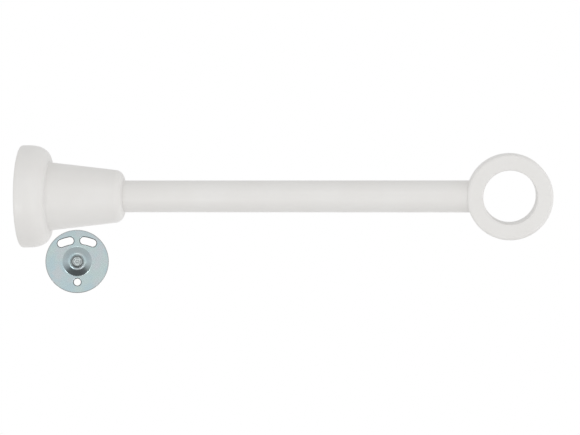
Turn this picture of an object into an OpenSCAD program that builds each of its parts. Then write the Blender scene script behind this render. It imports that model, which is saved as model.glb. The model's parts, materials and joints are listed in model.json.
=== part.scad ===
// Ring bracket for a curtain pole, with its loose screw-on wall plate.
// Frame: the wall is the plane x = 0, +X points into the room along the stem,
// +Z is up, and the pole runs along Y through the ring.

/* [Reach] */
// Distance from the wall to the middle of the pole ring
reach = 276; // [140:1:400]
// Diameter of the round stem
stem_d = 18; // [16:0.5:20]

/* [Base rosette] */
// Diameter of the rosette at its rim
base_d = 58; // [54:1:66]
// Thickness of the rosette, from the wall to the foot of the socket
base_t = 16; // [14:0.5:20]
// Distance from the wall to where the rim starts to round over
rim_w = 4; // [2:0.5:6]
// Diameter of the flat land that the socket stands on
land_d = 42.4; // [41:0.2:46]
// Fullness of the rounded front, where 2 is an ellipse and more is squarer
front_fullness = 2.35; // [2:0.05:3]
// Radius on the back edge, next to the wall
back_edge_r = 1.2; // [0.4:0.1:2]

/* [Hollow behind the rosette] */
// Diameter of the hollow that takes the wall plate
recess_d = 38.5; // [37.5:0.5:44]
// Depth of the hollow
recess_depth = 6; // [5:0.5:8]

/* [Socket cone] */
// Diameter of the cone at its foot
cone_foot_d = 38.8; // [36:0.2:41]
// Diameter that the taper would reach at the cone's tip
cone_tip_d = 28.8; // [26:0.2:32]
// Length of the cone
cone_l = 42.5; // [30:0.5:60]
// Radius of the rounding at the cone's tip
cone_tip_r = 5; // [1:0.5:5]

/* [Pole ring] */
// Diameter of the hole that the pole lies in
ring_bore_d = 30; // [20:1:36]
// Width of wood round the hole
ring_wall = 9; // [8:0.5:14]
// Thickness of the ring along the pole
ring_t = 20; // [20:0.5:26]
// Radius on the ring's outer edges
ring_edge_r = 1.6; // [0.4:0.1:3]
// Radius on the edges of the hole
bore_edge_r = 0.8; // [0.2:0.1:1.5]

/* [Dowel in the ring joint] */
// Diameter of the hidden dowel
dowel_d = 8; // [6:1:10]
// Length of the hidden dowel
dowel_l = 24; // [18:1:40]
// Wood left between the dowel and the pole
dowel_cover = 2; // [1.5:0.5:3]
// Chamfer on both ends of the dowel
dowel_edge = 1; // [0.5:0.25:1.5]

/* [Threaded insert] */
// Outside diameter of the insert's sleeve
insert_d = 10; // [9:0.5:11]
// Length of the insert, with its flange
insert_l = 13; // [10:0.5:20]
// Diameter of the insert's flange
insert_flange_d = 12.5; // [11.5:0.5:14]
// Thickness of the insert's flange
insert_flange_t = 1; // [0.8:0.1:1.5]
// Diameter of the insert's hole, an M6 thread drawn as a plain hole
insert_bore_d = 6.1; // [6.05:0.05:6.5]

/* [Wall plate] */
// Diameter of the plate
plate_d = 36; // [34:0.5:37]
// Thickness of the sheet steel
plate_t = 1.5; // [1:0.1:2]
// Height of the pressed dome above the sheet
dome_h = 3.6; // [3.2:0.1:3.9]
// Diameter of the dome's flat top
dome_top_d = 9.4; // [9:0.2:10]
// Inside radius where the dome rises from the sheet
dome_foot_r = 1.5; // [0.5:0.1:1.8]
// Radius round the dome's flat top
dome_top_r = 0.8; // [0.3:0.1:1.2]
// Radius on the edge of the sheet
sheet_edge_r = 0.3; // [0.1:0.05:0.4]
// Diameter of the round screw hole
screw_hole_d = 4; // [3.5:0.1:4.5]
// Distance from the plate's centre down to the round screw hole
screw_hole_drop = 11.8; // [11:0.1:12]
// Width of the two curved slots
slot_w = 4.2; // [3.5:0.1:4.6]
// Distance from the round hole to the middle of the curved slots
slot_swing_r = 23.9; // [23:0.1:24]
// Angle from the plate's middle line to the middle of each slot
slot_at = 15.7; // [15:0.1:17]
// Angle that the plate can be levelled by in its slots
slot_sweep = 12.6; // [8:0.2:16]

/* [Stud] */
// Outside diameter of the stud, an M6 thread drawn as a plain rod
stud_d = 6; // [5.9:0.05:6]
// Length of stud that stands out of the dome
stud_l = 10; // [8:0.5:12]
// Chamfer on the stud's free end
stud_chamfer = 0.5; // [0.2:0.1:1]
// Widest diameter of the stud's countersunk head
head_d = 11.4; // [10:0.2:12]
// Height of the straight rim of the head
head_rim = 0.4; // [0.2:0.1:0.8]
// Diameter of the shoulder pressed into the dome
shoulder_d = 7; // [6.6:0.1:8]
// Height that the shoulder stands above the dome
shoulder_h = 0.3; // [0.1:0.1:0.6]

/* [Where the loose plate lies] */
// Distance of the plate's middle from the wall
plate_x = 30.4; // [24:0.2:60]
// Place of the plate's back along the pole's direction
plate_y = 6; // [2:1:30]
// Height of the plate's middle, below the stem
plate_z = -37.6; // [-60:0.2:-37.6]
// Turn of the plate about the vertical
plate_turn = 9; // [0:1:9]
// Lean of the plate's face upwards
plate_lean = 5; // [0:1:8]

/* [Hidden] */
$fn = 96;

lacquer = "#e6e5e3";
beech = "#d8b98a";
brass = "#c8a557";
zinc = "#a9bcc4";

glue_gap = 0.05;      // room for glue all round a wooden joint
arc_steps = 8;        // points along a small edge rounding
curve_steps = 24;     // points along the rosette's rounded front
overcut = 1;          // how far a cutting tool runs past a face

base_r = base_d / 2;
land_r = land_d / 2;
ring_r = ring_bore_d / 2 + ring_wall;
cone_tip_x = base_t + cone_l;
// The stem's coped end reaches to where its sides meet the ring.
cope_x = reach - sqrt(pow(ring_r, 2) - pow(stem_d / 2, 2));
dowel_end_x = reach - ring_bore_d / 2 - dowel_cover;
dowel_start_x = dowel_end_x - dowel_l;
// The dome's wall rises at 45 degrees, so its foot is as much wider as it is high.
dome_front_z = plate_t + dome_h;
foot_r = dome_top_d / 2 + dome_h;
// The hollow behind the dome follows the wall, one sheet thickness inside it.
hollow_back_r = foot_r + plate_t - sqrt(2) * plate_t;
stud_end_z = dome_front_z + stud_l;
shoulder_end_z = dome_front_z + shoulder_h;

// Points of a quarter circle or other arc, from angle a to angle b.
function arc(centre, r, a, b, steps = arc_steps) = [
    for (i = [0:steps])
        let (t = a + (b - a) * i / steps)
        centre + r * [cos(t), sin(t)]
];

// Turns an outline of [radius, distance from the wall] about the stem's axis.
module turned() {
    rotate([0, 90, 0]) rotate_extrude() children();
}

// A rod along the stem's axis.
module x_rod(d, from, to) {
    translate([from, 0, 0]) rotate([0, 90, 0]) cylinder(d = d, h = to - from);
}

// A rod along the pole's direction, through the middle of the ring.
module pole_rod(r, length) {
    translate([reach, 0, 0]) rotate([90, 0, 0]) cylinder(r = r, h = length, center = true);
}

module base_rosette() {
    rim_to_front = base_t - rim_w;
    roundover = base_r - land_r;
    front = [
        for (i = [0:curve_steps])
            let (t = 90 * i / curve_steps)
            [
                land_r + roundover * pow(cos(t), 2 / front_fullness),
                rim_w + rim_to_front * pow(sin(t), 2 / front_fullness)
            ]
    ];
    back_edge = arc([base_r - back_edge_r, back_edge_r], back_edge_r, -90, 0);
    color(lacquer) difference() {
        turned() polygon(concat([[0, 0]], back_edge, front, [[0, base_t]]));
        x_rod(recess_d, -overcut, recess_depth);
        x_rod(stem_d + 2 * glue_gap, -overcut, base_t + overcut);
    }
}

module socket_cone() {
    taper = (cone_foot_d - cone_tip_d) / 2 / cone_l;
    round_x = cone_tip_x - cone_tip_r;
    round_r = cone_tip_d / 2 + taper * cone_tip_r - cone_tip_r;
    tip = arc([round_r, round_x], cone_tip_r, 0, 90, 2 * arc_steps);
    color(lacquer) difference() {
        turned() polygon(concat(
            [[0, base_t], [cone_foot_d / 2, base_t]], tip, [[0, cone_tip_x]]
        ));
        x_rod(stem_d + 2 * glue_gap, base_t - overcut, cone_tip_x + overcut);
    }
}

module stem() {
    insert_end = recess_depth + insert_l;
    flange_end = recess_depth + insert_flange_t;
    color(lacquer) difference() {
        x_rod(stem_d, recess_depth, cope_x + overcut);
        pole_rod(ring_r, ring_t + 2 * overcut);
        x_rod(insert_d + 2 * glue_gap, recess_depth - overcut, insert_end + glue_gap);
        x_rod(insert_flange_d + 2 * glue_gap, recess_depth - overcut, flange_end);
        x_rod(dowel_d + 2 * glue_gap, dowel_start_x - glue_gap, cope_x + overcut);
    }
}

module threaded_insert() {
    insert_end = recess_depth + insert_l;
    flange_end = recess_depth + insert_flange_t;
    color(brass) difference() {
        union() {
            x_rod(insert_flange_d, recess_depth, flange_end);
            x_rod(insert_d, recess_depth, insert_end);
        }
        x_rod(insert_bore_d, recess_depth - overcut, insert_end + overcut);
    }
}

// The section is drawn for one face and mirrored for the other.
module ring() {
    bore_r = ring_bore_d / 2;
    half_t = ring_t / 2;
    outer_edge = arc([ring_r - ring_edge_r, half_t - ring_edge_r], ring_edge_r, 0, 90);
    bore_edge = arc([bore_r + bore_edge_r, half_t - bore_edge_r], bore_edge_r, 90, 180);
    front = concat(outer_edge, bore_edge);
    back = [for (i = [len(front) - 1:-1:0]) [front[i][0], -front[i][1]]];
    color(lacquer) difference() {
        translate([reach, 0, 0]) rotate([90, 0, 0])
            rotate_extrude() polygon(concat(front, back));
        x_rod(dowel_d + 2 * glue_gap, reach - ring_r - overcut, dowel_end_x + glue_gap);
    }
}

module ring_dowel() {
    r = dowel_d / 2;
    color(beech) turned() polygon([
        [0, dowel_start_x],
        [r - dowel_edge, dowel_start_x],
        [r, dowel_start_x + dowel_edge],
        [r, dowel_end_x - dowel_edge],
        [r - dowel_edge, dowel_end_x],
        [0, dowel_end_x]
    ]);
}

// Lays the plate's own frame, stud along +Z and slots towards +Y, beside the rosette.
module lay_plate() {
    translate([plate_x, plate_y, plate_z])
        rotate([0, 0, plate_turn]) rotate([90 - plate_lean, 0, 0]) children();
}

// One curved slot: an arc about the round screw hole, with round ends.
module slot_outline(side) {
    middle = 90 - side * slot_at;
    ends = [middle - slot_sweep / 2, middle + slot_sweep / 2];
    outside = 2 * slot_swing_r;
    translate([0, -screw_hole_drop]) {
        intersection() {
            difference() {
                circle(r = slot_swing_r + slot_w / 2);
                circle(r = slot_swing_r - slot_w / 2);
            }
            polygon([[0, 0], for (t = ends) outside * [cos(t), sin(t)]]);
        }
        for (t = ends)
            translate(slot_swing_r * [cos(t), sin(t)]) circle(d = slot_w);
    }
}

module wall_plate() {
    rim_r = plate_d / 2;
    half_turn = tan(22.5);
    back_edge = arc([rim_r - sheet_edge_r, sheet_edge_r], sheet_edge_r, -90, 0);
    front_edge = arc([rim_r - sheet_edge_r, plate_t - sheet_edge_r], sheet_edge_r, 0, 90);
    foot_centre = [foot_r + dome_foot_r * half_turn, plate_t + dome_foot_r];
    top_centre = [dome_top_d / 2 - dome_top_r * half_turn, dome_front_z - dome_top_r];
    foot = arc(foot_centre, dome_foot_r, -90, -135);
    top = arc(top_centre, dome_top_r, 45, 90);
    hole_r = shoulder_d / 2;
    through = plate_t + 2 * overcut;
    color(zinc) lay_plate() difference() {
        rotate_extrude() polygon(concat(
            [[0, 0]], back_edge, front_edge, foot, top, [[0, dome_front_z]]
        ));
        translate([0, 0, -overcut])
            cylinder(r1 = hollow_back_r + overcut, r2 = hole_r, h = hollow_back_r + overcut - hole_r);
        cylinder(r = hole_r, h = dome_front_z + overcut);
        translate([0, -screw_hole_drop, -overcut]) cylinder(d = screw_hole_d, h = through);
        for (side = [-1, 1])
            translate([0, 0, -overcut]) linear_extrude(through) slot_outline(side);
    }
}

// The head's 45 degree cone seats in the hollow behind the dome, and the shoulder fills its hole.
module plate_stud() {
    r = stud_d / 2;
    head_r = head_d / 2;
    shoulder_r = shoulder_d / 2;
    seat_z = hollow_back_r - head_r;
    neck_z = hollow_back_r - shoulder_r;
    color(zinc) lay_plate() rotate_extrude() polygon([
        [0, seat_z - head_rim],
        [head_r, seat_z - head_rim],
        [head_r, seat_z],
        [shoulder_r, neck_z],
        [shoulder_r, shoulder_end_z],
        [r, shoulder_end_z],
        [r, stud_end_z - stud_chamfer],
        [r - stud_chamfer, stud_end_z],
        [0, stud_end_z]
    ]);
}

base_rosette();
socket_cone();
stem();
threaded_insert();
ring();
ring_dowel();
wall_plate();
plate_stud();
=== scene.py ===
"""A turned ring bracket for a curtain pole, in white lacquer, with its loose zinc-plated wall plate."""

import json
import logging
import math
from dataclasses import dataclass
from enum import Enum
from typing import Optional, Sequence, Union

import bmesh
import bpy
from bmesh.types import BMEdge, BMesh, BMVert
from bpy.types import Material, NodeTree
from bpy.types import NodeSocket as Socket
from mathutils import Matrix, Vector


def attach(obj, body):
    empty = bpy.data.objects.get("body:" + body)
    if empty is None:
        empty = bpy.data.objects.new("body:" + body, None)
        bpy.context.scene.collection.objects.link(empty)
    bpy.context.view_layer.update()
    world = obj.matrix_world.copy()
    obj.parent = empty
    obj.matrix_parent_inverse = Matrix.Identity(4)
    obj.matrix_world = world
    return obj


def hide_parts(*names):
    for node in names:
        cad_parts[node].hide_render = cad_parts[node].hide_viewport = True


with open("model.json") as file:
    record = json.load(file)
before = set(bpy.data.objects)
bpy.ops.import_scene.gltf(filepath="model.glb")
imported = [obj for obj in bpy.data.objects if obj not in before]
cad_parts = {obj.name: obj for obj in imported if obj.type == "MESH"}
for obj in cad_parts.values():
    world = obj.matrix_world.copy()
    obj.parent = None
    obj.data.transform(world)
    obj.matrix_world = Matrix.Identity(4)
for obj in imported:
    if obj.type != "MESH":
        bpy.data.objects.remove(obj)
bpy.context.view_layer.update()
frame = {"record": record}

LOG = logging.getLogger("bracket")
MM = 0.001
NEAR = 2e-6
WELD = NEAR / 4
LOOSE_WELD = NEAR / 2
CUT_MARGIN = NEAR / 20
FLAT_COSINE = 0.9999
LARGE_FACES_FIRST = 90
WHITE = (1.0, 1.0, 1.0, 1.0)

Value = Union[float, tuple, Vector, Socket]
Triple = tuple[float, float, float]
Corner = tuple[float, float]


class Body(Enum):
    """The two bodies that the pieces ride on."""

    BRACKET = "bracket"
    LOOSE_PLATE = "loose_plate"


class SlotName(Enum):
    """The record's material slots."""

    LACQUER = "white_lacquer"
    BEECH = "bare_beech"
    BRASS = "insert_brass"
    SHEET = "zinc_plate"
    STUD = "zinc_stud"


# ---------------------------------------------------------------- meshes


def link_object(name: str, data: bpy.types.ID) -> bpy.types.Object:
    """Makes an object of a mesh, light or camera, and links it to the scene."""
    made = bpy.data.objects.new(name, data)
    bpy.context.scene.collection.objects.link(made)
    return made


def new_mesh(name: str, bm: BMesh) -> bpy.types.Mesh:
    """Makes a mesh of what was drawn, and frees that."""
    mesh = bpy.data.meshes.new(name)
    bm.to_mesh(mesh)
    bm.free()
    return mesh


@dataclass(frozen=True)
class Ease:
    """A rounded edge of a turned piece: where the sharp corner was, and its radius."""

    r: float
    z: float
    radius: float
    segments: int = 6


def draw_section(bm: BMesh, section: Sequence[Corner]) -> tuple[list, list]:
    """Draws a section in the XZ plane.

    Args:
        bm: the mesh to draw it in.
        section: corners (distance from the Z axis, height) in order.

    Returns:
        The corners, and the lines between them.
    """
    verts = [bm.verts.new((r, 0.0, z)) for r, z in section]
    return verts, [bm.edges.new(pair) for pair in zip(verts, verts[1:])]


def lathe(section: Sequence[Corner], steps: int = 144) -> BMesh:
    """Turns a section about the Z axis into a closed shell.

    Args:
        section: corners (distance from the axis, height) in order. A section that starts and ends
            on the axis stays open there, and any other section is closed back to its start.
        steps: faces round one full turn.

    Returns:
        The new mesh, with its normals outwards.
    """
    bm = bmesh.new()
    verts, edges = draw_section(bm, section)
    if section[0][0] > NEAR or section[-1][0] > NEAR:
        edges.append(bm.edges.new((verts[-1], verts[0])))
    spin_full(bm, verts + edges, steps)
    tidy_shell(bm)
    return bm


def spin_full(bm: BMesh, geometry: list, steps: int) -> None:
    """Spins vertices and edges one full turn about the Z axis."""
    bmesh.ops.spin(
        bm, geom=geometry, cent=(0, 0, 0), axis=(0, 0, 1), angle=math.tau, steps=steps,
        use_merge=True, use_duplicate=False,
    )


def tidy_shell(bm: BMesh) -> None:
    """Merges doubled points, drops faces with no area, and turns the normals outwards."""
    bmesh.ops.remove_doubles(bm, verts=bm.verts, dist=WELD)
    bmesh.ops.dissolve_degenerate(bm, dist=WELD, edges=bm.edges)
    bmesh.ops.recalc_face_normals(bm, faces=bm.faces)


def rim_edges(bm: BMesh, r: float, z: float) -> list[BMEdge]:
    """The edges that lie on one circle about the Z axis, at radius r and height z."""
    def on_circle(vert: BMVert) -> bool:
        """True for a point on that circle."""
        return abs(math.hypot(vert.co.x, vert.co.y) - r) < NEAR and abs(vert.co.z - z) < NEAR

    return [edge for edge in bm.edges if all(on_circle(vert) for vert in edge.verts)]


def ease_edges(bm: BMesh, eases: Sequence[Ease]) -> None:
    """Rounds edges of a turned piece.

    Args:
        bm: the turned mesh, with sharp corners.
        eases: which circles to round, and by how much.
    """
    for ease in eases:
        edges = rim_edges(bm, ease.r, ease.z)
        turn = edges[0].calc_face_angle()
        bevel(bm, edges, ease.radius * math.tan(turn / 2), ease.segments)


def bevel(bm: BMesh, edges: list, offset: float, segments: int) -> None:
    """Bevels edges to a round profile."""
    bmesh.ops.bevel(
        bm, geom=edges, offset=offset, offset_type="OFFSET", segments=segments, profile=0.5,
        affect="EDGES", clamp_overlap=False, loop_slide=True, material=-1,
    )


def rod(radius: float, length: float, segments: int = 64) -> BMesh:
    """A closed rod along Z from the origin."""
    bm = bmesh.new()
    bmesh.ops.create_cone(
        bm, cap_ends=True, cap_tris=False, segments=segments, radius1=radius, radius2=radius,
        depth=length, matrix=Matrix.Translation((0, 0, length / 2)),
    )
    return bm


def join_shells(shells: Sequence[BMesh]) -> BMesh:
    """Puts several meshes into one, and frees them."""
    joined = bmesh.new()
    for shell in shells:
        scratch = new_mesh("scratch", shell)
        joined.from_mesh(scratch)
        bpy.data.meshes.remove(scratch)
    return joined


def carve(bm: BMesh, cutters: Sequence[BMesh]) -> BMesh:
    """Cuts the cutters' shapes out of a mesh.

    Args:
        bm: the closed mesh to cut; it is freed.
        cutters: closed meshes clear of one another; they are freed.

    Returns:
        What is left, as a new mesh.
    """
    blank = scratch_object("blank", bm)
    tool = scratch_object("tool", join_shells(cutters))
    modifier = blank.modifiers.new("carve", "BOOLEAN")
    modifier.operation, modifier.solver, modifier.object = "DIFFERENCE", "EXACT", tool
    depsgraph = bpy.context.evaluated_depsgraph_get()
    carved = bmesh.new()
    carved.from_object(blank, depsgraph)
    for piece in (blank, tool):
        mesh = piece.data
        bpy.data.objects.remove(piece)
        bpy.data.meshes.remove(mesh)
    return carved


def scratch_object(name: str, bm: BMesh) -> bpy.types.Object:
    """Puts a mesh into a short-lived object for the boolean cutter, and frees it."""
    bmesh.ops.recalc_face_normals(bm, faces=bm.faces)
    return link_object(name, new_mesh(name, bm))


@dataclass(frozen=True)
class Thread:
    """A metric thread, cut on a rod or in a hole about the Z axis.

    The corners are where it leaves the root, and where the crest starts and ends, in pitches.
    """

    crest_r: float
    root_r: float
    pitch: float = 1.0 * MM
    corners: Triple = (0.25, 0.53, 0.72)
    steps: int = 40
    spare_turns: int = 2

    def shell(self, start: float, end: float) -> BMesh:
        """The thread's helical surface, cut square at both ends and open there.

        Args:
            start: height of the lower end.
            end: height of the upper end.

        Returns:
            The open shell.
        """
        bm = bmesh.new()
        low = start - self.spare_turns * self.pitch
        turns = math.ceil((end - start) / self.pitch) + 2 * self.spare_turns
        radii = (self.root_r, self.root_r, self.crest_r, self.crest_r, self.root_r)
        heights = [low + share * self.pitch for share in (0.0, *self.corners, 1.0)]
        verts, edges = draw_section(bm, list(zip(radii, heights)))
        bmesh.ops.spin(
            bm, geom=verts + edges, cent=(0, 0, 0), axis=(0, 0, 1),
            dvec=(0, 0, self.pitch / self.steps), angle=math.tau * turns,
            steps=self.steps * turns, use_merge=False, use_duplicate=False,
        )
        bmesh.ops.remove_doubles(bm, verts=bm.verts, dist=LOOSE_WELD)
        for height, up in ((start, -1.0), (end, 1.0)):
            bmesh.ops.bisect_plane(
                bm, geom=bm.verts[:] + bm.edges[:] + bm.faces[:], dist=CUT_MARGIN,
                plane_co=(0, 0, height), plane_no=(0, 0, up), clear_outer=True,
            )
        bmesh.ops.remove_doubles(bm, verts=bm.verts, dist=LOOSE_WELD)
        return bm


def open_edges(bm: BMesh, z: float) -> list[BMEdge]:
    """The edges with a side open that lie at one height."""
    return [
        edge for edge in bm.edges
        if len(edge.link_faces) < 2 and all(abs(vert.co.z - z) < NEAR for vert in edge.verts)
    ]


def close_gap(bm: BMesh, z: float) -> None:
    """Fills the flat ring between the two open loops that lie at one height."""
    bmesh.ops.triangle_fill(
        bm, use_beauty=True, use_dissolve=False, edges=open_edges(bm, z), normal=(0, 0, 1))


def extrude_loop(bm: BMesh, edges: list) -> tuple[list, list]:
    """Grows a loop of edges by one row of faces, and returns the new loop's edges and points."""
    grown = bmesh.ops.extrude_edge_only(bm, edges=edges)["geom"]
    return ([item for item in grown if isinstance(item, BMEdge)],
            [item for item in grown if isinstance(item, BMVert)])


def turn_on(bm: BMesh, section: Sequence[Corner], steps: int = 96) -> None:
    """Adds an open turned surface to a mesh.

    Args:
        bm: the mesh.
        section: corners (distance from the Z axis, height) in order.
        steps: faces round one full turn.
    """
    verts, edges = draw_section(bm, section)
    spin_full(bm, verts + edges, steps)
    bmesh.ops.remove_doubles(bm, verts=bm.verts, dist=WELD)


# ---------------------------------------------------------------- shader nodes


class Graph:
    """Adds and wires the nodes of one material, node group or world."""

    def __init__(self, tree: NodeTree) -> None:
        """Works on the given node tree."""
        self.tree = tree

    @classmethod
    def of(cls, owner: Union[Material, bpy.types.World]) -> "Graph":
        """The graph of a material or world, emptied."""
        owner.use_nodes = True
        owner.node_tree.nodes.clear()
        return cls(owner.node_tree)

    def add(
        self, kind: str, inputs: Optional[dict[Union[str, int], Value]] = None, **settings: object
    ) -> bpy.types.Node:
        """Adds a node.

        Args:
            kind: the node's type, without its ShaderNode prefix.
            inputs: a value or a socket for each input that isn't left alone.
            settings: properties of the node.

        Returns:
            The node.
        """
        node = self.tree.nodes.new("ShaderNode" + kind)
        for name, value in settings.items():
            setattr(node, name, value)
        for key, value in (inputs or {}).items():
            self.feed(node.inputs[key], value)
        return node

    def feed(self, socket: Socket, value: Value) -> None:
        """Links an input to another socket, or sets it."""
        if isinstance(value, Socket):
            self.tree.links.new(value, socket)
        else:
            socket.default_value = value

    def math(self, operation: str, a: Value, b: Value = 0.0) -> Socket:
        """The result of a sum on one or two values."""
        return self.add("Math", {0: a, 1: b}, operation=operation).outputs[0]

    def band(self, value: Value, low: Value, high: Value, to: Corner = (0.0, 1.0)) -> Socket:
        """A smooth step of a value from low to high, scaled to the two ends given."""
        node = self.add(
            "MapRange", {0: value, 1: low, 2: high, 3: to[0], 4: to[1]},
            interpolation_type="SMOOTHSTEP",
        )
        return node.outputs[0]

    def total(self, *parts: tuple[Value, float]) -> Socket:
        """The sum of some values, each times its weight."""
        result = self.math("MULTIPLY", *parts[0])
        for value, weight in parts[1:]:
            result = self.math("ADD", result, self.math("MULTIPLY", value, weight))
        return result

    def mix(self, factor: Value, a: Value, b: Value) -> Socket:
        """A colour between a and b."""
        node = self.add("Mix", data_type="RGBA", clamp_factor=True)
        self.feed(node.inputs[0], factor)
        for key, colour in ((6, a), (7, b)):
            self.feed(node.inputs[key], (*colour, 1.0) if isinstance(colour, tuple) else colour)
        return node.outputs[2]

    def noise(self, vector: Value, scale: Value, detail: Value = 3.0) -> Socket:
        """A soft noise, from 0 to 1."""
        inputs = {"Vector": vector, "Scale": scale, "Detail": detail}
        return self.add("TexNoise", inputs).outputs[0]

    def stretch(self, vector: Value, factors: Triple) -> Socket:
        """The vector times a factor on each axis."""
        return self.add("VectorMath", {0: vector, 1: factors}, operation="MULTIPLY").outputs[0]

    def bump(self, height: Value, relief: float, strength: float = 0.8) -> Socket:
        """The normal of a surface that the height lifts by as much as the relief."""
        inputs = {"Height": height, "Distance": relief, "Strength": strength}
        return self.add("Bump", inputs).outputs[0]

    def group(self, tree: NodeTree, inputs: dict[str, Value]) -> bpy.types.Node:
        """Places a shared node group."""
        return self.add("Group", inputs, node_tree=tree)


class EffectLibrary:
    """The effects that more than one finish uses, each a node group that is built once."""

    FIGURE_STRETCH = (0.06, 1.0, 1.0)
    FIGURE_BAND = (0.36, 0.66)
    FLECK_STRETCH = (0.22, 1.0, 1.0)
    FLECK_BAND = (0.62, 0.72)
    SCRATCH_ANGLES = (0.5, 2.1)
    SCRATCH_STRETCH = (0.12, 3.4, 1.0)
    SCRATCH_BAND = (0.63, 0.7)
    WOBBLE_SCALE = 0.9

    def __init__(self) -> None:
        """Builds all the groups."""
        self.mottle = self._build_mottle()
        self.fibres = self._build_fibres()
        self.scratches = self._build_scratches()
        self.turning = self._build_turning()

    @staticmethod
    def _start(
        name: str, inputs: dict[str, Value], outputs: Sequence[str]
    ) -> tuple[Graph, Sequence[Socket], Sequence[Socket]]:
        """Starts a group.

        Args:
            name: the group's name.
            inputs: each input's default, a number or a vector.
            outputs: names of the outputs, each a number.

        Returns:
            The graph, the sockets that its inputs come from, and those that its outputs go to.
        """
        tree = bpy.data.node_groups.new(name, "ShaderNodeTree")
        for label, default in inputs.items():
            kind = "NodeSocketVector" if isinstance(default, tuple) else "NodeSocketFloat"
            socket = tree.interface.new_socket(name=label, in_out="INPUT", socket_type=kind)
            socket.default_value = default
        for label in outputs:
            tree.interface.new_socket(name=label, in_out="OUTPUT", socket_type="NodeSocketFloat")
        entry, leave = tree.nodes.new("NodeGroupInput"), tree.nodes.new("NodeGroupOutput")
        return Graph(tree), entry.outputs, leave.inputs

    def _build_mottle(self) -> NodeTree:
        """Soft patches: a mask that is 1 in a patch and 0 outside it."""
        graph, given, result = self._start(
            "Mottle", {"Vector": (0.0, 0.0, 0.0), "Scale": 0.1, "Detail": 3.0, "Level": 0.5,
                       "Softness": 0.1}, ("Mask",))
        noise = graph.noise(given["Vector"], given["Scale"], given["Detail"])
        low = graph.math("SUBTRACT", given["Level"], given["Softness"])
        high = graph.math("ADD", given["Level"], given["Softness"])
        graph.feed(result["Mask"], graph.band(noise, low, high))
        return graph.tree

    def _build_fibres(self) -> NodeTree:
        """Beech grain along X: soft figure lines, and short dark flecks."""
        graph, given, result = self._start(
            "Beech Fibres", {"Vector": (0.0, 0.0, 0.0), "Figure Scale": 0.35, "Fleck Scale": 1.6},
            ("Figure", "Flecks"))
        long_way = graph.stretch(given["Vector"], self.FIGURE_STRETCH)
        figure = graph.add("TexNoise", {"Vector": long_way, "Scale": given["Figure Scale"],
                                        "Detail": 4.0, "Distortion": 0.6}).outputs[0]
        short_way = graph.stretch(given["Vector"], self.FLECK_STRETCH)
        fleck = graph.noise(short_way, given["Fleck Scale"], 1.0)
        graph.feed(result["Figure"], graph.band(figure, *self.FIGURE_BAND))
        graph.feed(result["Flecks"], graph.band(fleck, *self.FLECK_BAND))
        return graph.tree

    def _build_scratches(self) -> NodeTree:
        """Fine handling scratches that run two ways."""
        graph, given, result = self._start(
            "Fine Scratches", {"Vector": (0.0, 0.0, 0.0), "Scale": 1.0, "Amount": 0.5}, ("Mask",))
        lines = []
        for angle in self.SCRATCH_ANGLES:
            turned = graph.add("VectorRotate", {"Vector": given["Vector"], "Angle": angle},
                               rotation_type="Z_AXIS").outputs[0]
            noise = graph.noise(graph.stretch(turned, self.SCRATCH_STRETCH), given["Scale"], 2.0)
            lines.append(graph.band(noise, *self.SCRATCH_BAND))
        both = graph.math("MAXIMUM", *lines)
        graph.feed(result["Mask"], graph.math("MULTIPLY", both, given["Amount"]))
        return graph.tree

    def _build_turning(self) -> NodeTree:
        """Rings about the pattern's Z axis, as a lathe tool leaves, and the distance from it."""
        graph, given, result = self._start(
            "Turning Rings", {"Vector": (0.0, 0.0, 0.0), "Ring Width": 0.4, "Wander": 0.2},
            ("Rings", "Radius"))
        flat = graph.stretch(given["Vector"], (1.0, 1.0, 0.0))
        radius = graph.add("VectorMath", {0: flat}, operation="LENGTH").outputs["Value"]
        wobble = graph.math("MULTIPLY", graph.noise(flat, self.WOBBLE_SCALE, 2.0), given["Wander"])
        turns = graph.math("DIVIDE", graph.math("ADD", radius, wobble), given["Ring Width"])
        wave = graph.math("SINE", graph.math("MULTIPLY", turns, math.tau))
        graph.feed(result["Rings"], graph.band(wave, -1.0, 1.0))
        graph.feed(result["Radius"], radius)
        return graph.tree


@dataclass(frozen=True)
class Lay:
    """Where a pattern's own axes lie on the object. Pattern coordinates are in millimetres."""

    origin: Triple = (0.0, 0.0, 0.0)
    turn: Triple = (0.0, 0.0, 0.0)

    @staticmethod
    def of(place: Matrix) -> "Lay":
        """The lay of a piece that was made in its own frame and then placed."""
        return Lay(tuple(place.to_translation()), tuple(place.to_euler()))

    def coordinates(self, graph: Graph) -> Socket:
        """The pattern's coordinates on this piece."""
        place = graph.add("TexCoord").outputs["Object"]
        node = graph.add(
            "Mapping", {"Vector": place, "Location": self.origin, "Rotation": self.turn,
                        "Scale": (MM, MM, MM)}, vector_type="TEXTURE")
        return node.outputs[0]


class Grain(Enum):
    """The way that a wooden piece's fibres run."""

    ALONG_STEM = Lay()
    UPRIGHT = Lay(turn=(0.0, math.pi / 2, 0.0))


@dataclass(frozen=True)
class Patches:
    """How large soft patches are, how ragged, how much they cover, and how soft their edges are."""

    scale: float
    detail: float
    level: float = 0.5
    softness: float = 0.2

    def mask(self, graph: Graph, effects: EffectLibrary, where: Value) -> Socket:
        """The patches, as a mask at the coordinates given."""
        return graph.group(effects.mottle, {
            "Vector": where, "Scale": self.scale, "Detail": self.detail, "Level": self.level,
            "Softness": self.softness}).outputs["Mask"]


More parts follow.
